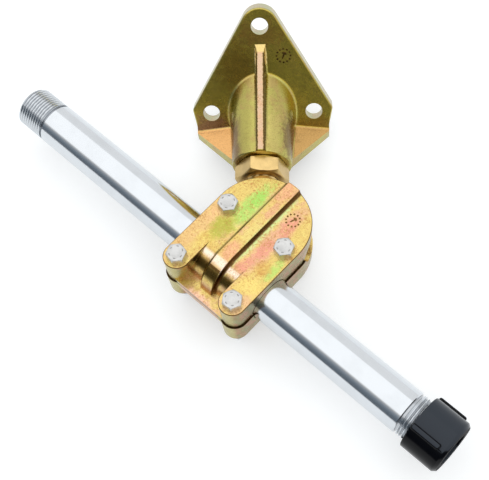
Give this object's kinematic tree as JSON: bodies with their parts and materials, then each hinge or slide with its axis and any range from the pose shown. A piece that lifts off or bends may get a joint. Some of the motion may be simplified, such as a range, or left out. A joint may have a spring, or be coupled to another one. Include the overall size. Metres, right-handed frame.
{
  "type": "steering cable support bracket",
  "caption": "Transom bracket with a ball-jointed clamp that holds a threaded steering cable tube with a black seal nut at one end.",
  "frame": {"origin": "centre of the flange's circle of three bolt holes, on the flange's flat back face", "axes": "+X along the steering tube towards the seal nut, +Z square to the clamp's flat top, +Y from the tube towards the mounting flange"},
  "size_m": [0.3125, 0.1471, 0.0793],
  "materials": {
    "gold_casting": "satin yellow plating over a cast surface",
    "gold_steel": "satin yellow plating",
    "fastener_steel": "matt stainless",
    "polished_tube": "polished",
    "black_plastic": "gloss",
    "seal_rubber": "matt"
  },
  "bodies": {
    "bracket": {"mounting_bracket": "gold_casting", "lock_nut": "gold_steel"},
    "stud": {"ball_stud": "gold_steel"},
    "clamp": {"clamp_upper_half": "gold_casting", "clamp_lower_half": "gold_casting", "clamp_bolt_1": "fastener_steel", "clamp_bolt_2": "fastener_steel", "clamp_bolt_3": "fastener_steel", "clamp_bolt_4": "fastener_steel", "clamp_nut_1": "fastener_steel", "clamp_nut_2": "fastener_steel", "clamp_nut_3": "fastener_steel", "clamp_nut_4": "fastener_steel"},
    "tube": {"steering_tube": "polished_tube"},
    "wiper": {"rod_wiper": "seal_rubber"},
    "end_nut": {"seal_nut": "black_plastic"}
  },
  "joints": [
    {"name": "stud_turn", "type": "hinge", "parent": "bracket", "child": "stud", "pos_m": [0.06573, -0.073, -0.01003], "axis": [-0.6691, 0.7431, 0], "range_deg": [-180, 180]},
    {"name": "clamp_swing", "type": "hinge", "parent": "stud", "child": "clamp", "pos_m": [0.06573, -0.073, -0.01003], "axis": [0, 0, 1], "range_deg": [-21.5, 105.5]},
    {"name": "tube_slide", "type": "slide", "parent": "clamp", "child": "tube", "axis": [1, 0, 0], "range_m": [-0.094, 0.113]},
    {"name": "wiper_slide", "type": "slide", "parent": "tube", "child": "wiper", "axis": [1, 0, 0], "range_m": [0, 0.0135]},
    {"name": "nut_spin", "type": "hinge", "parent": "wiper", "child": "end_nut", "pos_m": [0.20573, -0.0975, -0.01003], "axis": [1, 0, 0], "range_deg": [0, 2670]}
  ],
  "couplings": [
    {"joint": "wiper_slide", "follows": "nut_spin", "m_per_rad": 0.00028875}
  ]
}
